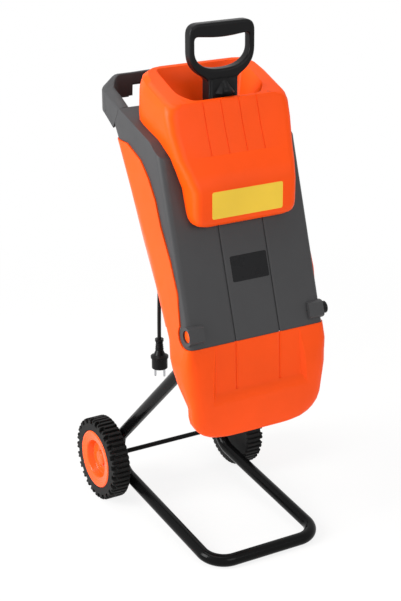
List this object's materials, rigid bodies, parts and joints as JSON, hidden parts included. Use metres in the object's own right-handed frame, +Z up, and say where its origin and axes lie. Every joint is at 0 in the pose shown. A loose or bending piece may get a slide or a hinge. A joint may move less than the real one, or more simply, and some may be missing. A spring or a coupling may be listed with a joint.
{
  "type": "garden shredder",
  "caption": "Upright electric garden shredder with a leaning moulded body, tilting feed hopper with push block, bent tube stand and two transport wheels.",
  "frame": {"origin": "on the floor, in the middle of the box round the whole machine", "axes": "+X to the viewer's right, -Y to the front with the discharge hood, +Z up from the floor"},
  "size_m": [0.367, 0.492, 1.028],
  "materials": {
    "orange_shell": "satin moulded",
    "grey_shell": "fine grained",
    "black_plastic": "fine grained",
    "cord_jacket": "matt",
    "black_tube": "gloss powder coat",
    "hub_plastic": "glossy",
    "tyre_rubber": "matt",
    "bright_steel": "ground",
    "screw_steel": "zinc plated",
    "copper_work": "lacquered",
    "green_plastic": "glossy",
    "red_plastic": "glossy"
  },
  "bodies": {
    "base": {"lower_housing": "orange_shell", "blade_chamber": "bright_steel", "hinge_pin_left": "orange_shell", "hinge_pin_right": "black_plastic", "foot_tube": "black_tube", "strut_left": "black_tube", "strut_right": "black_tube", "frame_screws": "screw_steel", "axle": "black_tube", "axle_caps": "hub_plastic", "motor_bell": "black_tube", "motor_bracket": "bright_steel", "stator": "bright_steel", "upper_bearing": "bright_steel", "lower_bearing": "bright_steel", "motor_screws": "screw_steel", "switch_box": "black_plastic", "switch_screws": "screw_steel", "cord_gland": "black_plastic", "cord": "cord_jacket", "plug": "black_plastic", "plug_pins": "bright_steel"},
    "rotor": {"motor_shaft": "bright_steel", "armature": "copper_work", "commutator": "copper_work", "cooling_fan": "black_plastic", "blade_disc": "bright_steel", "blades": "bright_steel", "blade_screws": "screw_steel", "disc_nut": "bright_steel"},
    "hopper_unit": {"front_cover": "grey_shell", "hopper": "orange_shell", "feed_chute": "black_plastic", "chute_screws": "screw_steel", "lock_lug": "bright_steel", "rear_handle": "grey_shell", "handle_screws": "screw_steel"},
    "push_block": {"plunger": "black_plastic", "plunger_collar": "black_plastic"},
    "lock": {"lock_knob": "black_plastic", "lock_screw": "bright_steel"},
    "start": {"start_button": "green_plastic"},
    "stop": {"stop_button": "red_plastic"},
    "reset": {"reset_button": "black_plastic"},
    "wheel_left": {"tyre_left": "tyre_rubber", "hub_left": "hub_plastic"},
    "wheel_right": {"tyre_right": "tyre_rubber", "hub_right": "hub_plastic"}
  },
  "joints": [
    {"name": "blade_spin", "type": "hinge", "parent": "base", "child": "rotor", "pos_m": [0, -0.007, 0.478], "axis": [0, 0.3007, 0.9537], "continuous": true},
    {"name": "hopper_tilt", "type": "hinge", "parent": "base", "child": "hopper_unit", "pos_m": [0, -0.18, 0.476], "axis": [1, 0, 0], "range_deg": [0, 60]},
    {"name": "push_block_lift", "type": "slide", "parent": "hopper_unit", "child": "push_block", "axis": [0, 0, 1], "range_m": [0, 0.4]},
    {"name": "lock_turn", "type": "hinge", "parent": "base", "child": "lock", "pos_m": [0, 0.078, 0.758], "axis": [0, 0.675, 0.7378], "range_deg": [0, 720]},
    {"name": "start_press", "type": "slide", "parent": "base", "child": "start", "axis": [0, -1, 0], "range_m": [0, 0.004], "stiffness_N_per_m": 500},
    {"name": "stop_press", "type": "slide", "parent": "base", "child": "stop", "axis": [0, -1, 0], "range_m": [0, 0.004], "stiffness_N_per_m": 500},
    {"name": "reset_press", "type": "slide", "parent": "base", "child": "reset", "axis": [0, -1, 0], "range_m": [0, 0.004], "stiffness_N_per_m": 500},
    {"name": "wheel_left_roll", "type": "hinge", "parent": "base", "child": "wheel_left", "pos_m": [-0.16, 0.158, 0.088], "axis": [1, 0, 0], "continuous": true},
    {"name": "wheel_right_roll", "type": "hinge", "parent": "base", "child": "wheel_right", "pos_m": [0.16, 0.158, 0.088], "axis": [1, 0, 0], "continuous": true}
  ]
}
